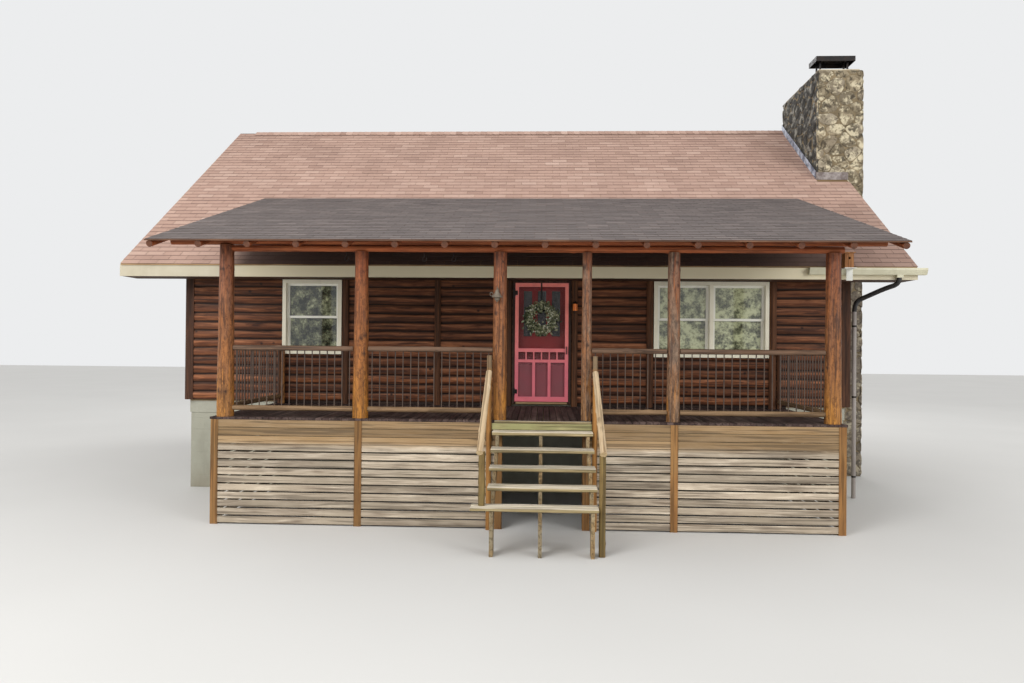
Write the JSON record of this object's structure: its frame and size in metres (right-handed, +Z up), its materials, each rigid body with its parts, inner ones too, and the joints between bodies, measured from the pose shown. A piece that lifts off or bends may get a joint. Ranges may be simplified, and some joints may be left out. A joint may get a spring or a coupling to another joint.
{
  "type": "log cabin",
  "caption": "Log cabin with a shingled gable roof, a railed front porch on round log posts, a plank stair, a screen door and a stone gable chimney.",
  "frame": {"origin": "centre of the footprint, roof overhangs and stair included, at the lowest ground", "axes": "+X to the right along the front, +Y from the porch to the back, +Z up"},
  "size_m": [13.504, 12.937, 8.467],
  "materials": {
    "logs": "weathered dark brown stain",
    "peeled_logs": "oiled, orange at the foot and red-brown above",
    "pale_logs": "peeled and sun-bleached",
    "weathered_boards": "bare and grey",
    "deck_boards": "dark stain, worn",
    "framing": "rough sawn",
    "floor_boards": "satin varnish",
    "trim_paint": "cream paint",
    "block_paint": "painted concrete block",
    "shingles": "mineral-faced asphalt shingles",
    "porch_shingles": "mineral-faced asphalt",
    "stone": "rough fieldstone in mortar",
    "flashing": "dull sheet",
    "dark_metal": "dark satin",
    "gutter_paint": "cream enamel",
    "spout": "black corrugated and grey pipe",
    "screen_paint": "coral red gloss paint, pinker below",
    "door_paint": "deep red paint",
    "screen": "woven insect screen",
    "glass": "clear window glass",
    "sash_paint": "white",
    "box_wood": "bare cedar",
    "white_paint": "white"
  },
  "bodies": {
    "root": {"foundation_walls": "block_paint", "floor_frame": "trim_paint", "subfloor": "framing", "cabin_floor": "floor_boards", "front_wall_left": "logs", "front_wall_right": "logs", "front_wall_over_door": "logs", "back_wall": "logs", "left_gable_wall": "logs", "right_gable_wall": "logs", "corner_posts": "logs", "wall_uprights": "logs", "main_roof_front": "shingles", "main_roof_back": "shingles", "barge_boards": "trim_paint", "fascias": "trim_paint", "soffits": "framing", "ridge_vent": "dark_metal", "porch_roof": "porch_shingles", "porch_rafters": "peeled_logs", "porch_beam": "peeled_logs", "porch_posts": "peeled_logs", "porch_deck": "deck_boards", "porch_joists": "framing", "deck_posts": "framing", "skirting_front_left": "weathered_boards", "skirting_front_right": "weathered_boards", "skirting_left": "weathered_boards", "skirting_right": "weathered_boards", "railing_front_1": "peeled_logs", "railing_front_2": "peeled_logs", "railing_front_3": "peeled_logs", "railing_front_4": "peeled_logs", "railing_left": "peeled_logs", "railing_right": "peeled_logs", "stair_stringers": "weathered_boards", "stair_treads": "weathered_boards", "stair_newels": "pale_logs", "handrails": "pale_logs", "door_frame": "logs", "door_threshold": "pale_logs", "frame_hinges": "dark_metal", "window_frames": "trim_paint", "window_sashes": "sash_paint", "window_glass": "glass", "chimney": "stone", "chimney_flashing": "flashing", "chimney_cap": "dark_metal", "gutter": "gutter_paint", "downspout": "spout", "bird_box": "box_wood", "box_bracket": "white_paint", "wall_lantern": "dark_metal"},
    "front_door": {"front_door": "door_paint", "front_door_glass": "glass", "front_door_hardware": "dark_metal"},
    "screen_door": {"screen_door": "screen_paint", "screen_door_hardware": "dark_metal", "screen_mesh": "screen"}
  },
  "joints": [
    {"name": "screen_door_hinge", "type": "hinge", "parent": "root", "child": "screen_door", "pos_m": [-0.077, -2.7135, 1.58], "axis": [0, 0, -1], "range_deg": [0, 100]},
    {"name": "front_door_hinge", "type": "hinge", "parent": "root", "child": "front_door", "pos_m": [-0.077, -2.5015, 1.58], "axis": [0, 0, 1], "range_deg": [0, 90]}
  ]
}
